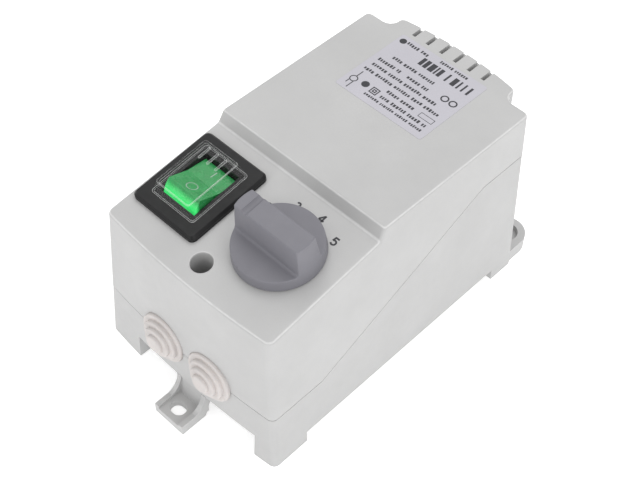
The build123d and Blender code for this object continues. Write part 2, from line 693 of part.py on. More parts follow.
def make_contacts():
    tabs = []
    bottom = -SELECTOR_DEPTH - WALL
    for x, y in contact_points():
        tab = local_box(0.8, 3.0, bottom - 5, bottom + 2.6, x, y)
        tab += local_rod(1.6, bottom + 2.6, -16.8, x, y)
        tabs.append(KNOB_PLANE * tab)
    return Compound(children=tabs)


def make_nut():
    hexagon = extrude(Pos(0, 0, 0.9) * RegularPolygon(8.1, 6), 2.2)
    return KNOB_PLANE * (hexagon - local_rod(BUSH_R + 0.05, 0, 4))


def make_washer():
    return KNOB_PLANE * (local_rod(8.6, 0.02, 0.88) - local_rod(BUSH_R + 0.1, -1, 2))


# ---- transformer ----

def make_core():
    x, y, z = CORE
    body = Pos(0, CORE_Y, CORE_Z0 + z / 2) * Box(x, y, z)
    for s in (-1, 1):
        body -= Pos(s * 1.5 * LIMB, CORE_Y, CORE_Z0 + z / 2) * Box(LIMB, WINDOW_Y, z + 2)
        for t in (-1, 1):
            body -= rod(s * CORE_HOLE_X, CORE_Y + t * CORE_HOLE_Y, CORE_Z0 - 1, CORE_Z0 + z + 1,
                        CORE_SCREW_R + 0.2)
    return body


def ring_y(outer, inner, y0, y1):
    # Rectangular ring round the middle limb; outer and inner are (x, z) sizes.
    zc = CORE_Z0 + CORE[2] / 2
    yc = (y0 + y1) / 2
    return (Pos(0, yc, zc) * Box(outer[0], y1 - y0, outer[1])
            - Pos(0, yc, zc) * Box(inner[0], y1 - y0 + 2, inner[1]))


LIMB_CLEAR = (2 * LIMB + 0.4, CORE[2] + 0.4)
COIL_SIZE = (4 * LIMB - 0.6, CORE[2] + 2 * COIL_OVER)
TUBE_T = 1.2
COIL_Y0 = CORE_Y - WINDOW_Y / 2 + 0.3
COIL_Y1 = CORE_Y + WINDOW_Y / 2 - 0.3


def make_bobbin():
    tube = (LIMB_CLEAR[0] + 2 * TUBE_T, LIMB_CLEAR[1] + 2 * TUBE_T)
    body = ring_y(tube, LIMB_CLEAR, COIL_Y0, COIL_Y1)
    body += ring_y(COIL_SIZE, LIMB_CLEAR, COIL_Y0, COIL_Y0 + FLANGE_T)
    body += ring_y(COIL_SIZE, LIMB_CLEAR, COIL_Y1 - FLANGE_T, COIL_Y1)
    # Tag strip along the top of the near flange.
    z = tag_z()
    body += plate(-COIL_SIZE[0] / 2, COIL_SIZE[0] / 2, COIL_Y0 - 5, COIL_Y0 + 0.5, z - 3, z + 3)
    for x in tag_points():
        body -= plate(x - 1.3, x + 1.3, COIL_Y0 - 6, COIL_Y0 - 0.5, z - 0.5, z + 0.5)
    return body


def tag_z():
    return CORE_Z0 + CORE[2] + COIL_OVER - 3.2


def tag_points():
    return [-24.0, -14.0, -4.0, 4.0, 12.0, 19.0, 25.5]


def make_winding():
    tube = (LIMB_CLEAR[0] + 2 * TUBE_T, LIMB_CLEAR[1] + 2 * TUBE_T)
    outer = (COIL_SIZE[0] - 3.0, COIL_SIZE[1] - 3.0)
    body = ring_y(outer, tube, COIL_Y0 + FLANGE_T, COIL_Y1 - FLANGE_T)
    corners = [e for e in body.edges().filter_by(Axis.Y) if abs(e.center().X) > 20]
    return fillet(corners, 4.0)


def make_tape():
    outer = (COIL_SIZE[0] - 2.0, COIL_SIZE[1] - 2.0)
    inner = (COIL_SIZE[0] - 3.0, COIL_SIZE[1] - 3.0)
    y0, y1 = COIL_Y0 + FLANGE_T + 0.5, COIL_Y1 - FLANGE_T - 0.5
    zc = CORE_Z0 + CORE[2] / 2
    block = Pos(0, CORE_Y, zc) * Box(outer[0], y1 - y0, outer[1])
    hole = Pos(0, CORE_Y, zc) * Box(inner[0], y1 - y0 + 2, inner[1])
    block = fillet(block.edges().filter_by(Axis.Y), 4.5)
    hole = fillet(hole.edges().filter_by(Axis.Y), 4.0)
    return block - hole


def make_tags():
    z = tag_z()
    tags = []
    for x in tag_points():
        tags.append(plate(x - 1.2, x + 1.2, COIL_Y0 - 9, COIL_Y0 - 0.6, z - 0.4, z + 0.4))
    return Compound(children=tags)


def make_core_screws():
    screws = []
    top = CORE_Z0 + CORE[2]
    for sx in (-1, 1):
        for sy in (-1, 1):
            x, y = sx * CORE_HOLE_X, CORE_Y + sy * CORE_HOLE_Y
            head = rod(x, y, top + 1.0, top + 4.0, 3.4)
            slot = plate(x - 4, x + 4, y - 0.5, y + 0.5, top + 2.8, top + 5)
            screws.append(head + rod(x, y, CORE_Z0 - 11, top + 1.2, CORE_SCREW_R) - slot)
    return Compound(children=screws)


def make_core_washers():
    rings = []
    top = CORE_Z0 + CORE[2]
    for sx in (-1, 1):
        for sy in (-1, 1):
            x, y = sx * CORE_HOLE_X, CORE_Y + sy * CORE_HOLE_Y
            rings.append(rod(x, y, top, top + 0.98, 4.4) - rod(x, y, top - 1, top + 2, 2.2))
    return Compound(children=rings)


def make_thermal_cutout():
    # Flat thermal switch held against the winding's top.
    z = CORE_Z0 + CORE[2] / 2 + COIL_SIZE[1] / 2 - 0.98
    body = plate(-9, 9, CORE_Y - 4, CORE_Y + 4, z, z + 4.2)
    return fillet(body.edges().filter_by(Axis.Y), 1.4)


# ---- terminal block ----

def block_screw_x():
    half = BLOCK_POLES * POLE_PITCH / 2
    return [BLOCK_X0 - half - 4.5, BLOCK_X0 + half + 4.5]


def pole_x():
    return [BLOCK_X0 + (i - (BLOCK_POLES - 1) / 2) * POLE_PITCH for i in range(BLOCK_POLES)]


BLOCK_Z0 = FLOOR_Z + FLOOR_T + 3.02


def make_terminal_block():
    half = BLOCK_POLES * POLE_PITCH / 2
    x0, x1 = BLOCK_X0 - half, BLOCK_X0 + half
    y0, y1 = BLOCK_Y - BLOCK_D / 2, BLOCK_Y + BLOCK_D / 2
    body = plate(x0, x1, y0, y1, BLOCK_Z0, BLOCK_Z0 + BLOCK_H)
    body += plate(x0 - 9, x1 + 9, BLOCK_Y - 4.5, BLOCK_Y + 4.5, BLOCK_Z0, BLOCK_Z0 + 4)
    for x in pole_x():
        body -= plate(x - 3.1, x + 3.1, y0 - 1, y1 + 1, BLOCK_Z0 + 3, BLOCK_Z0 + 9.2)
        body -= rod(x, BLOCK_Y, BLOCK_Z0 + 8, BLOCK_Z0 + BLOCK_H + 1, 2.6)
        if x > x0 + POLE_PITCH:
            xs = x - POLE_PITCH / 2
            body -= plate(xs - 0.5, xs + 0.5, y0 - 1, y1 + 1, BLOCK_Z0 + 10, BLOCK_Z0 + BLOCK_H + 1)
    for x in block_screw_x():
        body -= rod(x, BLOCK_Y, BLOCK_Z0 - 1, BLOCK_Z0 + 5, 1.8)
    return body


def make_clamps():
    cages = []
    for x in pole_x():
        cage = plate(x - 3.05, x + 3.05, BLOCK_Y - 5.5, BLOCK_Y + 5.5, BLOCK_Z0 + 3.05, BLOCK_Z0 + 9.15)
        cage -= plate(x - 2.1, x + 2.1, BLOCK_Y - 7, BLOCK_Y + 7, BLOCK_Z0 + 4, BLOCK_Z0 + 7.6)
        cage -= rod(x, BLOCK_Y, BLOCK_Z0 + 7, BLOCK_Z0 + 10, 1.65)
        cages.append(cage)
    return Compound(children=cages)


def make_clamp_screws():
    screws = []
    for x in pole_x():
        head = rod(x, BLOCK_Y, BLOCK_Z0 + 10.2, BLOCK_Z0 + 12.6, 2.4)
        slot = plate(x - 3, x + 3, BLOCK_Y - 0.4, BLOCK_Y + 0.4, BLOCK_Z0 + 11.6, BLOCK_Z0 + 13)
        screws.append(head + rod(x, BLOCK_Y, BLOCK_Z0 + 6.6, BLOCK_Z0 + 10.4, 1.6) - slot)
    return Compound(children=screws)


def make_block_screws():
    screws = []
    for x in block_screw_x():
        z = BLOCK_Z0 + 4.02
        head = rod(x, BLOCK_Y, z, z + 2.2, 3.0)
        slot = plate(x - 3.5, x + 3.5, BLOCK_Y - 0.4, BLOCK_Y + 0.4, z + 1.4, z + 3)
        screws.append(head + rod(x, BLOCK_Y, FLOOR_Z + 2.4, z + 0.2, 1.45) - slot)
    return Compound(children=screws)


# ---- label and dial figures ----

def make_label():
    w, h = LABEL_SIZE
    z = TOP_Z_NEAR + (TOP_Z_FAR - TOP_Z_NEAR) * (LABEL_AT[1] - STEP_Y) / (110 - STEP_Y)
    tilt = math.degrees(math.atan((TOP_Z_FAR - TOP_Z_NEAR) / (110 - STEP_Y)))
    sheet = extrude(RectangleRounded(w, h, 1.2), LABEL_T)
    return Pos(LABEL_AT[0], LABEL_AT[1], z + 0.01) * Rot(tilt, 0, 0) * sheet


# ---- leads ----

def on_plane(plane, x, y, z):
    p = plane.from_local_coords(Vector(x, y, z))
    return (p.X, p.Y, p.Z)


def lead(points):
    # Round lead along straight runs joined by arcs as large as the runs allow.
    pts = [Vector(*p) for p in points]
    radii = []
    for a, b, c in zip(pts, pts[1:], pts[2:]):
        turn = math.radians((b - a).get_angle(c - b))
        short = min((b - a).length, (c - b).length)
        radii.append(0.45 * short / math.tan(turn / 2))
    path = FilletPolyline(*pts, radius=radii)
    start = Plane(origin=path @ 0, z_dir=path % 0)
    tube = sweep(start * Circle(LEAD_R), path=path)
    ratio = tube.volume / (math.pi * LEAD_R**2 * path.length)
    print("lead radii", [round(r, 1) for r in radii], "volume ratio", round(ratio, 4))
    return tube


def tap_lead(i):
    # From a selector contact down, across and up to its tag on the coil.
    cx, cy = contact_points()[i]
    bottom = -SELECTOR_DEPTH - WALL - 5
    a = on_plane(KNOB_PLANE, cx, cy, bottom)
    b = on_plane(KNOB_PLANE, cx, cy, bottom - 7 - 2 * (STEP_COUNT - 1 - i))
    x = tag_points()[2 + i]
    z = tag_z()
    y = COIL_Y0 - 9
    c = ((b[0] + 2 * x) / 3, -16 + 0.8 * i, b[2] + 2)
    return lead([a, b, c, (x, y - 10, z), (x, y, z)])


def switch_tab_end(i, away=0.0):
    x, y = switch_tab_points()[i]
    return on_plane(SWITCH_PLANE, x, y, -BODY_DEPTH - 9 - away)


def block_entry(i):
    return (pole_x()[i], BLOCK_Y + 5.5, BLOCK_Z0 + 5.8)


def feed_lead():
    # Terminal block to the switch's supply tab.
    e = block_entry(0)
    t = switch_tab_end(0)
    b = switch_tab_end(0, 9)
    return lead([e, (e[0], e[1] + 12, e[2]), (e[0] + 0.5, t[1] + 8, t[2] - 18), b, t])


def switched_lead():
    # Switch to the first tag of the coil.
    t = switch_tab_end(2)
    x = tag_points()[0]
    y = COIL_Y0 - 9
    z = tag_z()
    b = switch_tab_end(2, 8)
    return lead([t, b, (-27, -16, t[2] - 6), (x, y - 10, z), (x, y, z)])


def neutral_lead():
    # Terminal block to the coil's common tag.
    e = block_entry(2)
    x = tag_points()[1]
    y = COIL_Y0 - 9
    z = tag_z()
    return lead([e, (e[0], e[1] + 11, e[2]), (-13, -20, 34), (x, -12, 62), (x, y - 9, z), (x, y, z)])


def output_lead():
    # Selector common to the terminal block.
    cx, cy = contact_points()[-1]
    bottom = -SELECTOR_DEPTH - WALL - 5
    a = on_plane(KNOB_PLANE, cx, cy, bottom)
    b = on_plane(KNOB_PLANE, cx, cy, bottom - 10)
    e = block_entry(5)
    return lead([a, b, (e[0] + 3, e[1] + 15, 36), (e[0], e[1] + 12, e[2]), e])


PARTS = {
    "base_housing": make_base,
    "front_cover": make_cover,
    "cover_seal": make_seal,
    "cover_screw": make_cover_screw,
    "cable_grommet_left": lambda: make_grommet(GROMMET_X[0]),
    "cable_grommet_right": lambda: make_grommet(GROMMET_X[1]),
    "switch_frame": make_switch_frame,
    "switch_tabs": make_switch_tabs,
    "switch_rocker": make_rocker,
    "switch_splash_cover": make_splash_cover,
    "switch_lamp": make_lamp,
    "selector_knob": make_knob,
    "knob_insert": make_knob_insert,
    "selector_shaft": make_shaft,
    "selector_rotor": make_rotor,
    "selector_wiper": make_wiper,
    "selector_body": make_selector_body,
    "selector_contacts": make_contacts,
    "selector_nut": make_nut,
    "selector_washer": make_washer,
    "core_laminations": make_core,
    "coil_bobbin": make_bobbin,
    "coil_winding": make_winding,
    "coil_tape": make_tape,
    "coil_tags": make_tags,
    "core_screws": make_core_screws,
    "core_washers": make_core_washers,
    "thermal_cutout": make_thermal_cutout,
    "terminal_block": make_terminal_block,
    "terminal_clamps": make_clamps,
    "terminal_screws": make_clamp_screws,
    "block_screws": make_block_screws,
    "rating_label": make_label,
    "tap_lead_1": lambda: tap_lead(0),
    "tap_lead_2": lambda: tap_lead(1),
    "tap_lead_3": lambda: tap_lead(2),
    "tap_lead_4": lambda: tap_lead(3),
    "tap_lead_5": lambda: tap_lead(4),
    "feed_lead": feed_lead,
    "switched_lead": switched_lead,
    "neutral_lead": neutral_lead,
    "output_lead": output_lead,
}

for name, make in PARTS.items():
    placed = [Pos(0, MIDDLE_Y, 0) * solid for solid in make().solids()]
    export_step(placed[0] if len(placed) == 1 else Compound(placed), f"parts/{name}.step")
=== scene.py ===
import json
import math
import random

import bmesh
import bpy
from mathutils import Matrix, Vector


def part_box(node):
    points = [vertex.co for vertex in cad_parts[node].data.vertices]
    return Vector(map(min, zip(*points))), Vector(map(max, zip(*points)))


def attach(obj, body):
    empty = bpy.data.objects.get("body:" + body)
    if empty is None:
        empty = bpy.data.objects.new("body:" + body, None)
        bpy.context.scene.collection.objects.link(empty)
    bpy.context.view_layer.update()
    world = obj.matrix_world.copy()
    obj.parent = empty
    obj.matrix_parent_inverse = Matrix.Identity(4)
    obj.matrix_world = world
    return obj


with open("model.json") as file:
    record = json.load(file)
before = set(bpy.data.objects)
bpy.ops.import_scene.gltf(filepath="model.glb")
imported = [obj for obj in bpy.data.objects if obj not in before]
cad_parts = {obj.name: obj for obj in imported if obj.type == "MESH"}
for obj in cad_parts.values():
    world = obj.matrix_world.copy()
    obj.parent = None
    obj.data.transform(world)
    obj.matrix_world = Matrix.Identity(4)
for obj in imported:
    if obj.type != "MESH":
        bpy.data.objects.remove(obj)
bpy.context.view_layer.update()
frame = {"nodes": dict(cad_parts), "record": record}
random.seed(7)

MM = 0.001
scene = bpy.context.scene
scene.view_settings.view_transform = "Standard"


# ---- control panel, rocker and rating label, in the row frame ----

joints = {j["name"]: j for j in frame["record"]["behaviour"]["joints"]}
KNOB_ORIGIN = Vector(joints["selector_turn"]["pos_m"])
PANEL_NORMAL = Vector(joints["selector_turn"]["axis"])
ROCKER_PIVOT = Vector(joints["rocker_tilt"]["pos_m"])
PANEL_TILT = math.atan2(-PANEL_NORMAL.y, PANEL_NORMAL.z)
TOP_FALL, TOP_LENGTH = 1.5, 123.8      # mm: the raised top falls slightly to the far end
TOP_SLOPE = math.atan(-TOP_FALL / TOP_LENGTH)
ROCKER_TILT = math.radians(19.5)       # of the resting rocker against the panel
FILM_LIFT = 0.07                       # mm from the middle of the film's box to just above its face


def knob_matrix():
    """Local frame on the control panel at the knob's axis: z out of the panel."""
    return Matrix.Translation(KNOB_ORIGIN) @ Matrix.Rotation(PANEL_TILT, 4, "X")


def rocker_matrix():
    """Local frame of the rocker at its pivot, tilted as it rests."""
    return Matrix.Translation(ROCKER_PIVOT) @ Matrix.Rotation(PANEL_TILT - ROCKER_TILT, 4, "X")


def label_matrix():
    """Local frame just above the middle of the rating label's upper face."""
    low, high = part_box("rating_label")
    centre = (Vector(low) + Vector(high)) / 2
    lift = Vector((0, 0, FILM_LIFT * MM))
    return Matrix.Translation(centre + lift) @ Matrix.Rotation(TOP_SLOPE, 4, "X")


# ---- node materials: noise scales are per metre, bump distances in metres ----

EDGE_COSINES = (0.995, 0.85)    # rounded against true normal: where an edge starts, where it is full


class Nodes:
    """Short hand for building one node material in object space."""

    def __init__(self, name):
        self.mat = bpy.data.materials.new(name)
        self.mat.use_nodes = True
        self.tree = self.mat.node_tree
        self.bsdf = self.tree.nodes["Principled BSDF"]
        self.coord = self.tree.nodes.new("ShaderNodeTexCoord").outputs["Object"]

    def fill(self, socket, value):
        """Link a socket to another one, or set its constant."""
        if isinstance(value, bpy.types.NodeSocket):
            self.tree.links.new(value, socket)
        elif isinstance(value, tuple) and len(value) == 3 and socket.type == "RGBA":
            socket.default_value = (*value, 1)
        else:
            socket.default_value = value

    def node(self, kind, **inputs):
        n = self.tree.nodes.new(kind)
        for key, value in inputs.items():
            self.fill(n.inputs[key.replace("_", " ")], value)
        return n

    def set(self, **inputs):
        for key, value in inputs.items():
            self.fill(self.bsdf.inputs[key.replace("_", " ")], value)

    def noise(self, scale, detail=4.0, rough=0.55, vector=None):
        n = self.node("ShaderNodeTexNoise", Scale=scale, Detail=detail, Roughness=rough,
                      Vector=vector or self.coord)
        return n.outputs["Fac"]

    def stretch(self, scale):
        return self.node("ShaderNodeMapping", Scale=scale, Vector=self.coord).outputs["Vector"]

    def wave(self, direction, scale, distortion):
        """Fine parallel bands, such as sheets or turns of wire."""
        n = self.node("ShaderNodeTexWave", Scale=scale, Distortion=distortion, Vector=self.coord)
        n.bands_direction = direction
        return n.outputs["Fac"]

    def ramp(self, fac, start, end):
        """Two (position, colour) stops."""
        n = self.node("ShaderNodeValToRGB", Fac=fac)
        for element, (position, colour) in zip(n.color_ramp.elements, (start, end)):
            element.position = position
            element.color = (*colour, 1)
        return n.outputs["Color"]

    def spread(self, fac, low, high, in_low=0.3, in_high=0.7):
        n = self.node("ShaderNodeMapRange", Value=fac, From_Min=in_low, From_Max=in_high,
                      To_Min=low, To_Max=high)
        return n.outputs["Result"]

    def mix(self, fac, a, b):
        n = self.tree.nodes.new("ShaderNodeMix")
        n.data_type = "RGBA"
        # The colour sockets of this node share their names with others, so they go by number.
        for socket, value in ((n.inputs[0], fac), (n.inputs[6], a), (n.inputs[7], b)):
            self.fill(socket, value)
        return n.outputs[2]

    def math(self, operation, a, b):
        n = self.tree.nodes.new("ShaderNodeMath")
        n.operation = operation
        for socket, value in zip(n.inputs, (a, b)):
            self.fill(socket, value)
        return n.outputs[0]

    def bump(self, height, strength, distance, normal=None):
        n = self.node("ShaderNodeBump", Strength=strength, Distance=distance, Height=height)
        if normal is not None:
            self.fill(n.inputs["Normal"], normal)
        return n.outputs["Normal"]

    def cosine(self, a, b):
        """Cosine of the angle between two directions."""
        n = self.tree.nodes.new("ShaderNodeVectorMath")
        n.operation = "DOT_PRODUCT"
        self.fill(n.inputs[0], a)
        self.fill(n.inputs[1], b)
        return n.outputs["Value"]

    def true_normal(self):
        return self.tree.nodes.new("ShaderNodeNewGeometry").outputs["Normal"]

    def edges(self, radius):
        """1 on edges, 0 on open faces: how far a rounded normal leaves the true one."""
        soft = self.node("ShaderNodeBevel", Radius=radius)
        soft.samples = 4
        turn = self.cosine(soft.outputs["Normal"], self.true_normal())
        return self.spread(turn, 0.0, 1.0, *EDGE_COSINES)

    def lean_band(self, axis, low, high):
        """1 where the normal's cosine to the axis is between two short ramps, else 0."""
        lean = self.cosine(self.true_normal(), axis)
        return self.math("MULTIPLY", self.spread(lean, 0.0, 1.0, *low), self.spread(lean, 1.0, 0.0, *high))

    def edge_wear_and_highlight(self, radius=0.0005):
        """Paler-edge factor: partly rubbed wear, partly painted highlight, broken up by noise."""
        return self.math("MULTIPLY", self.edges(radius), self.spread(self.noise(900, 3), 0.2, 1.0))


def shade(colour, factor):
    return tuple(min(1.0, c * factor) for c in colour)


EDGE_TONE = 1.45     # edges paler than the open faces: rubbed wear and painted highlight
FLECK_TONE = 0.86    # small darker flecks in a moulding


def plastic(name, colour, rough=0.5, grain=0.2, grain_scale=2600, spread=0.035, edge_wear_and_highlight=0.1, gloss=0.42,
            fillet_highlight=None):
    """Moulded plastic: mottled tone, spark-eroded grain, edges paled by rubbed wear and painted highlight.
    """
    m = Nodes(name)
    base = m.ramp(m.noise(35, 3), (0.3, shade(colour, 1 - spread)), (0.7, shade(colour, 1 + spread)))
    base = m.mix(m.spread(m.noise(1400, 2), 0.0, 0.16), base, shade(colour, FLECK_TONE))
    # Paler edges: rubbed wear mixed with a painted highlight.
    base = m.mix(m.spread(m.edge_wear_and_highlight(), 0, edge_wear_and_highlight, 0, 1), base, shade(colour, EDGE_TONE))
    if fillet_highlight:
        # Painted highlight on the top edges rounded between wall and lid.
        painted_fillet_highlight = m.math("MULTIPLY", m.lean_band((0, 0, 1), (0.5, 0.66), (0.82, 0.94)),
                        m.spread(m.noise(300, 3), 0.6, 1.0))
        base = m.mix(m.math("MULTIPLY", painted_fillet_highlight, fillet_highlight), base, shade(colour, EDGE_TONE))
    swell = m.bump(m.noise(60, 2), 0.08, 0.0006)
    skin = m.bump(m.noise(grain_scale, 2, 0.6), grain, 0.00006, swell)
    m.set(Base_Color=base, Roughness=m.spread(m.noise(220, 3), rough - 0.05, rough + 0.07), Normal=skin,
          Specular_IOR_Level=gloss)
    return m.mat


def rubber(name, colour, rough=0.62):
    m = Nodes(name)
    base = m.ramp(m.noise(120, 4), (0.3, shade(colour, 0.93)), (0.72, shade(colour, 1.04)))
    dust = m.spread(m.noise(700, 3), 0.0, 0.25, 0.55, 0.8)
    base = m.mix(dust, base, (0.72, 0.7, 0.66))
    m.set(Base_Color=base, Roughness=m.spread(m.noise(300, 2), rough - 0.06, rough + 0.08),
          Normal=m.bump(m.noise(1500, 3), 0.25, 0.00008), Specular_IOR_Level=0.3,
          Subsurface_Weight=0.12, Subsurface_Radius=(0.0012, 0.001, 0.0008))
    return m.mat


def metal(name, colour, rough=0.32, brushed=(1, 1, 14)):
    """Brushed metal with darker handled patches; brushed squeezes the streaks along an axis."""
    m = Nodes(name)
    streak = m.noise(500, 3, 0.6, m.stretch(brushed))
    base = m.ramp(streak, (0.25, shade(colour, 0.82)), (0.75, shade(colour, 1.1)))
    base = m.mix(m.spread(m.noise(180, 4), 0.0, 0.3, 0.5, 0.75), base, shade(colour, 0.6))
    m.set(Base_Color=base, Roughness=m.spread(m.noise(150, 3), rough - 0.08, rough + 0.12),
          Normal=m.bump(streak, 0.18, 0.00004), Metallic=1.0)
    return m.mat


def laminations(name):
    """Stacked varnished sheets seen on the core's sides, with brown varnish patches."""
    m = Nodes(name)
    sheets = m.wave("Z", 320, 0.3)
    base = m.ramp(sheets, (0.1, (0.05, 0.05, 0.055)), (0.9, (0.2, 0.2, 0.21)))
    base = m.mix(m.spread(m.noise(90, 4), 0, 0.5, 0.5, 0.8), base, (0.16, 0.08, 0.04))
    m.set(Base_Color=base, Roughness=m.spread(m.noise(200, 3), 0.4, 0.6),
          Normal=m.bump(sheets, 0.5, 0.0001), Metallic=0.7)
    return m.mat


def winding(name):
    """Layered enamelled wire."""
    m = Nodes(name)
    turns = m.wave("Y", 260, 0.6)
    m.set(Base_Color=m.ramp(turns, (0.05, (0.16, 0.04, 0.015)), (0.8, (0.62, 0.22, 0.08))),
          Roughness=m.spread(m.noise(200, 3), 0.25, 0.4), Normal=m.bump(turns, 0.7, 0.0002), Metallic=0.6)
    return m.mat


GLOW_FROM_Y, GLOW_FULL_Y = -0.0549, -0.0570    # emission strength: lamp glow with painted light on the raised near end
GLOW_LOW, GLOW_FULL = 0.03, 0.86               # emission strength


def lit_green(name):
    """Translucent green rocker lit from inside, glowing brighter toward the raised near end: partly its
    lamp, partly painted light on that face turned to the light.
    """
    m = Nodes(name)
    base = m.ramp(m.noise(260, 3), (0.3, (0.022, 0.26, 0.068)), (0.7, (0.034, 0.32, 0.092)))
    glow = m.ramp(m.noise(150, 2), (0.3, (0.03, 0.62, 0.12)), (0.7, (0.06, 0.85, 0.2)))
    place = m.node("ShaderNodeSeparateXYZ", Vector=m.coord)
    lamp_glow_and_painted_light = m.spread(place.outputs["Y"], GLOW_LOW, GLOW_FULL, GLOW_FROM_Y, GLOW_FULL_Y)
    m.set(Base_Color=base, Emission_Color=glow, Emission_Strength=lamp_glow_and_painted_light,
          Roughness=m.spread(m.noise(200, 2), 0.22, 0.32), Normal=m.bump(m.noise(900, 2), 0.06, 0.0001),
          Subsurface_Weight=0.3, Subsurface_Radius=(0.001, 0.004, 0.0015))
    return m.mat


def clear_plastic(name, colour=(0.92, 0.94, 0.93), face=0.004, rim=0.6, brim_alpha=0.25):
    """Clear flexible moulding: faces nearly vanish, its edges catch the light."""
    m = Nodes(name)
    facing = m.node("ShaderNodeLayerWeight", Blend=0.25)
    grazing = m.spread(facing.outputs["Facing"], face, face + 0.05, 0.2, 1.0)
    # The rounded brim of the roof: between the walls' slope and level.
    brim = m.math("MULTIPLY", m.lean_band(PANEL_NORMAL, (0.45, 0.62), (0.88, 0.985)), brim_alpha)
    edge = m.math("MULTIPLY", m.edges(0.0004), rim)
    alpha = m.math("MAXIMUM", grazing, m.math("MAXIMUM", edge, brim))
    base = m.ramp(m.noise(300, 3), (0.3, shade(colour, 0.94)), (0.7, shade(colour, 1.04)))
    m.set(Base_Color=base, Alpha=alpha, Roughness=m.spread(m.noise(400, 4), 0.06, 0.14),
          Normal=m.bump(m.noise(700, 3), 0.05, 0.00006), Specular_IOR_Level=0.5)
    return m.mat


def ink(name, colour):
    m = Nodes(name)
    m.set(Base_Color=m.ramp(m.noise(2500, 3), (0.25, shade(colour, 0.7)), (0.8, shade(colour, 1.7))),
          Roughness=m.spread(m.noise(800, 2), 0.4, 0.55), Normal=m.bump(m.noise(3000, 2), 0.15, 0.00003))
    return m.mat


CASE = (0.5, 0.499, 0.497)
LEADS = {
    "lead_red": (0.5, 0.03, 0.025),
    "lead_orange": (0.7, 0.22, 0.02),
    "lead_yellow": (0.7, 0.55, 0.04),
    "lead_green": (0.04, 0.3, 0.06),
    "lead_violet": (0.2, 0.06, 0.3),
    "lead_brown": (0.15, 0.06, 0.025),
    "lead_blue": (0.03, 0.1, 0.4),
    "lead_black": (0.025, 0.025, 0.027),
}
MATERIALS = {
    "case_base": plastic("case_base", shade(CASE, 0.985), edge_wear_and_highlight=0.4, fillet_highlight=0.4),
    "case_cover": plastic("case_cover", CASE, rough=0.48, edge_wear_and_highlight=0.4, fillet_highlight=0.8),
    "seal_rubber": rubber("seal_rubber", (0.05, 0.05, 0.05)),
    "grommet_rubber": rubber("grommet_rubber", (0.61, 0.575, 0.56)),
    "zinc_steel": metal("zinc_steel", (0.6, 0.6, 0.57)),
    "bezel_black": plastic("bezel_black", (0.014, 0.014, 0.0145), rough=0.42, grain_scale=2400,
                           spread=0.15, gloss=0.24),
    "tinned_brass": metal("tinned_brass", (0.72, 0.7, 0.62), rough=0.28),
    "rocker_green": lit_green("rocker_green"),
    "clear_cap": clear_plastic("clear_cap"),
    "lamp_glass": clear_plastic("lamp_glass", (0.9, 0.8, 0.6), face=0.2, brim_alpha=0.3),
    "knob_grey": plastic("knob_grey", (0.205, 0.202, 0.226), rough=0.46, grain_scale=2400, spread=0.03,
                         edge_wear_and_highlight=0.3, gloss=0.36),
    "brass": metal("brass", (0.76, 0.55, 0.24), rough=0.3, brushed=(14, 1, 1)),
    "black_moulding": plastic("black_moulding", (0.035, 0.035, 0.04), rough=0.45, grain_scale=2400,
                              spread=0.12),
    "core_steel": laminations("core_steel"),
    "bobbin_nylon": plastic("bobbin_nylon", (0.72, 0.68, 0.58), rough=0.45),
    "copper_winding": winding("copper_winding"),
    "tape_yellow": plastic("tape_yellow", (0.8, 0.62, 0.12), rough=0.3, grain=0.1, grain_scale=1800,
                           spread=0.06),
    "terminal_nylon": plastic("terminal_nylon", (0.74, 0.73, 0.68), rough=0.45),
    "label_film": plastic("label_film", (0.508, 0.498, 0.543), rough=0.46, grain=0.12, edge_wear_and_highlight=0.0),
}
for lead, colour in LEADS.items():
    MATERIALS[lead] = plastic(lead, colour, rough=0.4)
INK = ink("print_ink", (0.02, 0.02, 0.026))
PALE_PAINT = ink("pale_paint", (0.3, 0.42, 0.34))

for part in frame["record"]["subparts"]:
    obj = frame["nodes"][part["node"]]
    obj.data.materials.clear()
    obj.data.materials.append(MATERIALS[part["material_slot"]])


# ---- flat closed shapes for print: outlines are (x, y) corners and thicknesses, all in mm ----

def add_rings(bm, rings, closed):
    """Quads between each ring of corners and the next, and back to the first where closed."""
    following = rings[1:] + rings[:1] if closed else rings[1:]
    for a, b in zip(rings, following):
        for i in range(len(a)):
            j = (i + 1) % len(a)
            bm.faces.new((a[i], a[j], b[j], b[i]))


def corners_at(bm, outline, z):
    return [bm.verts.new((x * MM, y * MM, z * MM)) for x, y in outline]


def add_slab(bm, outline, thick):
    """Closed prism from z 0 up."""
    low = corners_at(bm, outline, 0)
    high = corners_at(bm, outline, thick)
    bm.faces.new(high)
    bm.faces.new(low[::-1])
    add_rings(bm, [low, high], closed=False)


def add_frame(bm, outer, inner, thick):
    """Closed ring between two outlines with the same number of corners."""
    sides = ((outer, 0), (outer, thick), (inner, thick), (inner, 0))
    add_rings(bm, [corners_at(bm, outline, z) for outline, z in sides], closed=True)


def add_stroke(bm, points, width, thick):
    """Closed ribbon of even width along a line of points."""
    rings = []
    for i, (x, y) in enumerate(points):
        x0, y0 = points[max(i - 1, 0)]
        x1, y1 = points[min(i + 1, len(points) - 1)]
        length = math.hypot(x1 - x0, y1 - y0)
        nx, ny = -(y1 - y0) / length * width / 2, (x1 - x0) / length * width / 2
        side_a, side_b = (x + nx, y + ny), (x - nx, y - ny)
        section = ((side_a, 0), (side_b, 0), (side_b, thick), (side_a, thick))
        rings.append([bm.verts.new((px * MM, py * MM, z * MM)) for (px, py), z in section])
    bm.faces.new(rings[0][::-1])
    bm.faces.new(rings[-1])
    add_rings(bm, rings, closed=False)


def rect(x0, y0, x1, y1):
    return [(x0, y0), (x1, y0), (x1, y1), (x0, y1)]


def square(x, y, half):
    return rect(x - half, y - half, x + half, y + half)


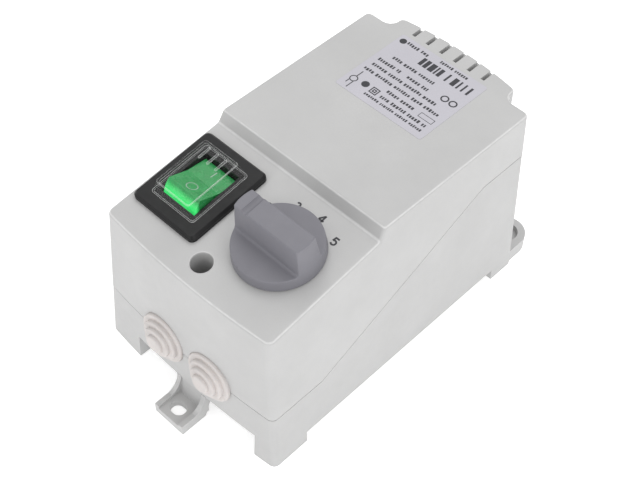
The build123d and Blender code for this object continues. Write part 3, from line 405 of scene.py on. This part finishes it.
def arc(x, y, r, start, end, n=12):
    points = []
    for i in range(n + 1):
        a = math.radians(start + (end - start) * i / n)
        points.append((x + r * math.cos(a), y + r * math.sin(a)))
    return points


def circle(x, y, r, n=28):
    return arc(x, y, r, 0, 360, n)[:-1]


def mesh_object(name, bm, material, body="root"):
    mesh = bpy.data.meshes.new(name)
    bm.to_mesh(mesh)
    bm.free()
    obj = bpy.data.objects.new(name, mesh)
    scene.collection.objects.link(obj)
    mesh.materials.append(material)
    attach(obj, body)


# ---- print on the rating label, in mm from the film's middle ----

PRINT_T = 0.03                   # thickness of the print
DASH_SHARE = (0.6, 1.0)          # a dash's width as a share of the full one
DASH_MIN = 0.2                   # narrower ones are left out
DASH_GAP = 0.42                  # in full dashes, like the next three
WORD_LENGTH = (3, 9)
WORD_GAP = 0.9
ROW_END = 0.4                    # no word starts nearer than this to the row's end
TALL, SHORT = 0.5, 0.36          # a dash's reach up or down from the row, as a share of its height

# Rows of small print: x from, x to, y, height, full dash.
HEAD_ROWS = (
    (-20.1, -7.6, 20.2, 2.1, 1.3),
    (-0.8, 15.7, 21.4, 1.8, 1.1),
)
BODY_ROWS = (
    (-18.2, 8.3, 7.9, 2.0, 1.2),
    (-22.4, -8.5, 2.6, 2.0, 1.2),
    (-4.9, 7.5, 2.6, 2.0, 1.2),
    (-22.1, 16.6, -1.9, 2.0, 1.2),
    (-23.0, 22.1, -6.5, 2.0, 1.2),
    (-4.9, 12.3, -11.1, 2.0, 1.2),
    (-4.8, 22.7, -15.6, 2.0, 1.2),
    (-11.4, 22.4, -19.2, 1.6, 1.0),
)
# Bold blocks in one line: x from, x to.
BLOCKS = ((-7.7, -5.8), (-5.1, -3.0), (-2.2, 0.6), (1.4, 2.3), (3.1, 5.0), (8.0, 9.0), (11.4, 13.8),
          (15.0, 15.9), (17.8, 18.7), (20.8, 22.0))
BLOCK_LOW, BLOCK_HIGH = 12.7, 18.2
FIELD = (15.0, -13.0, 23.0, -9.9)
FIELD_LINE = 0.25
LEAD_LINE = 0.45


def add_print_row(bm, x0, x1, y, height, dash):
    """Row of plain dashes that stands for small print: no letters."""
    x = x0
    while x < x1 - dash * ROW_END:
        word_end = min(x1, x + random.uniform(*WORD_LENGTH) * dash)
        while x < word_end:
            width = min(dash * random.uniform(*DASH_SHARE), x1 - x)
            low = y - height * random.choice((TALL, TALL, SHORT))
            high = y + height * random.choice((TALL, SHORT, SHORT))
            if width > DASH_MIN:
                add_slab(bm, rect(x, low, x + width, high), PRINT_T)
            x += width + DASH_GAP * dash
        x += dash * WORD_GAP


def add_double_square(bm, x, y):
    add_frame(bm, square(x, y, 2.1), square(x, y, 1.55), PRINT_T)
    add_frame(bm, square(x, y, 1.0), square(x, y, 0.45), PRINT_T)


def add_field(bm):
    """Empty box with a thin line round it."""
    x0, y0, x1, y1 = FIELD
    inner = rect(x0 + FIELD_LINE, y0 + FIELD_LINE, x1 - FIELD_LINE, y1 - FIELD_LINE)
    add_frame(bm, rect(*FIELD), inner, PRINT_T)


def add_ring(bm, x, y, outer, inner):
    add_frame(bm, circle(x, y, outer), circle(x, y, inner), PRINT_T)


def add_winding_symbol(bm, x, y):
    """Ring for a winding, with one lead up and two down."""
    add_ring(bm, x, y, 2.1, 1.6)
    for side, low, high in ((0, 2.1, 6.4), (1.2, -6.5, -1.75), (-1.2, -4.2, -1.75)):
        left = x + side - LEAD_LINE / 2
        add_slab(bm, rect(left, y + low, left + LEAD_LINE, y + high), PRINT_T)


def make_label_print():
    bm = bmesh.new()
    for row in HEAD_ROWS:
        add_print_row(bm, *row)
    for x0, x1 in BLOCKS:
        add_slab(bm, rect(x0, BLOCK_LOW, x1, BLOCK_HIGH), PRINT_T)
    for row in BODY_ROWS:
        add_print_row(bm, *row)
    add_double_square(bm, -9.0, -15.1)
    add_field(bm)
    add_winding_symbol(bm, -21.4, -15.6)
    # Plain discs and rings, in place of marks.
    add_slab(bm, circle(-15.0, -14.6, 2.0), PRINT_T)
    add_ring(bm, 16.6, 4.0, 2.1, 1.4)
    add_ring(bm, 21.4, 4.0, 2.1, 1.4)
    add_slab(bm, circle(-22.5, 19.6, 1.8), PRINT_T)
    bm.normal_update()
    bm.transform(label_matrix())
    mesh_object("label_print", bm, INK)


# ---- dial figures, in mm about each figure's middle ----

FIGURES = {
    1: [[(0.3, -2.4), (0.3, 2.4)], [(-1.0, 1.35), (0.45, 2.3)]],
    2: [arc(0, 1.05, 1.25, 165, -45) + [(-1.25, -1.9)], [(-1.55, -2.05), (1.6, -2.05)]],
    3: [arc(-0.05, 1.1, 1.05, 155, -80), arc(-0.05, -1.0, 1.3, 85, -155)],
    4: [[(0.75, 2.3), (-1.5, -0.8)], [(-1.65, -0.95), (1.75, -0.95)], [(0.7, 2.4), (0.7, -2.4)]],
    5: [[(1.35, 2.05), (-1.05, 2.05)], [(-0.85, 2.35), (-1.15, -0.15)], arc(-0.1, -0.85, 1.35, 135, -150)],
}
FIGURE_STROKE = 1.02
FIGURE_SCALE = 0.87
FIGURE_LIFT = 0.01
DIAL_RADIUS = 23.4
DIAL_START = 180     # degrees, at the figure 1
DIAL_STEP = 32


def make_dial_figure(digit):
    """One figure of the dial, as thin printed strokes on the panel."""
    angle = math.radians(DIAL_START - DIAL_STEP * (digit - 1))
    bm = bmesh.new()
    for stroke in FIGURES[digit]:
        add_stroke(bm, stroke, FIGURE_STROKE, PRINT_T)
    middle = Vector((DIAL_RADIUS * math.cos(angle), DIAL_RADIUS * math.sin(angle), FIGURE_LIFT)) * MM
    place = Matrix.Translation(middle) @ Matrix.Diagonal((FIGURE_SCALE, FIGURE_SCALE, 1, 1))
    bm.transform(knob_matrix() @ place)
    mesh_object(f"dial_figure_{digit}", bm, INK)


# ---- paint in the rocker's two engraved marks, in mm from its pivot ----

MARK_Y = 6.4
MARK_FACE_Z = 6.02                  # the rocker's face at a mark
MARK_SLOPE = math.radians(7.89)     # of the face, each side of the middle
MARK_FLOOR = 0.43                   # below the face
RING_OUTER, RING_INNER = 2.78, 2.32
BAR_HALF_X, BAR_HALF_Y = 0.28, 2.05
PAINT_T = 0.36


def make_rocker_mark(name, side):
    """Ring on the near side (-1) or bar on the far side (1)."""
    bm = bmesh.new()
    if side < 0:
        add_frame(bm, circle(0, 0, RING_OUTER), circle(0, 0, RING_INNER), PAINT_T)
    else:
        add_slab(bm, rect(-BAR_HALF_X, -BAR_HALF_Y, BAR_HALF_X, BAR_HALF_Y), PAINT_T)
    place = Matrix.Translation(Vector((0, side * MARK_Y, MARK_FACE_Z - MARK_FLOOR)) * MM)
    bm.transform(rocker_matrix() @ place @ Matrix.Rotation(side * MARK_SLOPE, 4, "X"))
    mesh_object(name, bm, PALE_PAINT, body="rocker")


make_label_print()
make_rocker_mark("rocker_mark_off", -1)
make_rocker_mark("rocker_mark_on", 1)
for digit in FIGURES:
    make_dial_figure(digit)


# ---- studio, in metres ----

CENTRE = (0, 0, 0.05)
FLOOR_HALF = 9.0
FLOOR_DROP = 0.0002
FLOOR_GLOW = 0.5
WORLD_STRENGTH = 0.64

# Softboxes: name, place, side, watts.
SOFTBOXES = (
    ("softbox_top", (-0.28, 0.34, 1.22), 1.2, 7.0),
    ("softbox_right", (1.1, -0.2, 0.6), 0.9, 4.0),
    ("softbox_near", (-0.1, -1.2, 0.55), 0.9, 2.6),
)


def add_floor():
    """Wide flat floor of white paper that glows a little, so it comes out white."""
    bm = bmesh.new()
    bmesh.ops.create_grid(bm, x_segments=2, y_segments=2, size=FLOOR_HALF)
    mesh = bpy.data.meshes.new("floor")
    bm.to_mesh(mesh)
    bm.free()
    floor = bpy.data.objects.new("floor", mesh)
    floor.location = (0, 0, -FLOOR_DROP)
    scene.collection.objects.link(floor)
    m = Nodes("floor_paper")
    m.set(Base_Color=m.ramp(m.noise(6, 3), (0.3, (0.9, 0.9, 0.9)), (0.7, (0.92, 0.92, 0.92))),
          Roughness=m.spread(m.noise(40, 2), 0.75, 0.85), Normal=m.bump(m.noise(800, 2), 0.05, 0.0001),
          Emission_Color=(1, 1, 1), Emission_Strength=FLOOR_GLOW)
    mesh.materials.append(m.mat)


def add_softbox(name, place, side, watts):
    """Square area light that faces the object's middle."""
    light = bpy.data.lights.new(name, "AREA")
    light.shape = "SQUARE"
    light.size = side
    light.energy = watts
    obj = bpy.data.objects.new(name, light)
    obj.location = place
    obj.rotation_euler = (Vector(CENTRE) - Vector(place)).to_track_quat("-Z", "Y").to_euler()
    scene.collection.objects.link(obj)


add_floor()
world = bpy.data.worlds.new("studio")
scene.world = world
world.use_nodes = True
sky = world.node_tree.nodes["Background"]
sky.inputs["Color"].default_value = (1, 1, 1, 1)
sky.inputs["Strength"].default_value = WORLD_STRENGTH
for softbox in SOFTBOXES:
    add_softbox(*softbox)


# ---- camera: the fit to the photograph's view ----

AZIMUTH = math.radians(42.808)
DOWN = math.radians(50.459)
ROLL = math.radians(1.737)
EYE = Vector((0.2649, -0.2850, 0.5120))
FOCAL = 1303.25                    # in the units of a frame 640 wide
FRAME_WIDTH = 640
SENSOR_WIDTH = 36.0                # mm
NEAREST = 0.01

forward = Vector((-math.sin(AZIMUTH) * math.cos(DOWN), math.cos(AZIMUTH) * math.cos(DOWN), -math.sin(DOWN)))
level = Vector((math.cos(AZIMUTH), math.sin(AZIMUTH), 0))
upright = level.cross(forward)
right = math.cos(ROLL) * level + math.sin(ROLL) * upright
up = math.cos(ROLL) * upright - math.sin(ROLL) * level
camera_data = bpy.data.cameras.new("camera")
camera_data.sensor_width = SENSOR_WIDTH
camera_data.lens = FOCAL / FRAME_WIDTH * SENSOR_WIDTH
camera_data.clip_start = NEAREST
camera = bpy.data.objects.new("camera", camera_data)
camera.matrix_world = Matrix((
    (right.x, up.x, -forward.x, EYE.x),
    (right.y, up.y, -forward.y, EYE.y),
    (right.z, up.z, -forward.z, EYE.z),
    (0, 0, 0, 1)))
scene.collection.objects.link(camera)
scene.camera = camera
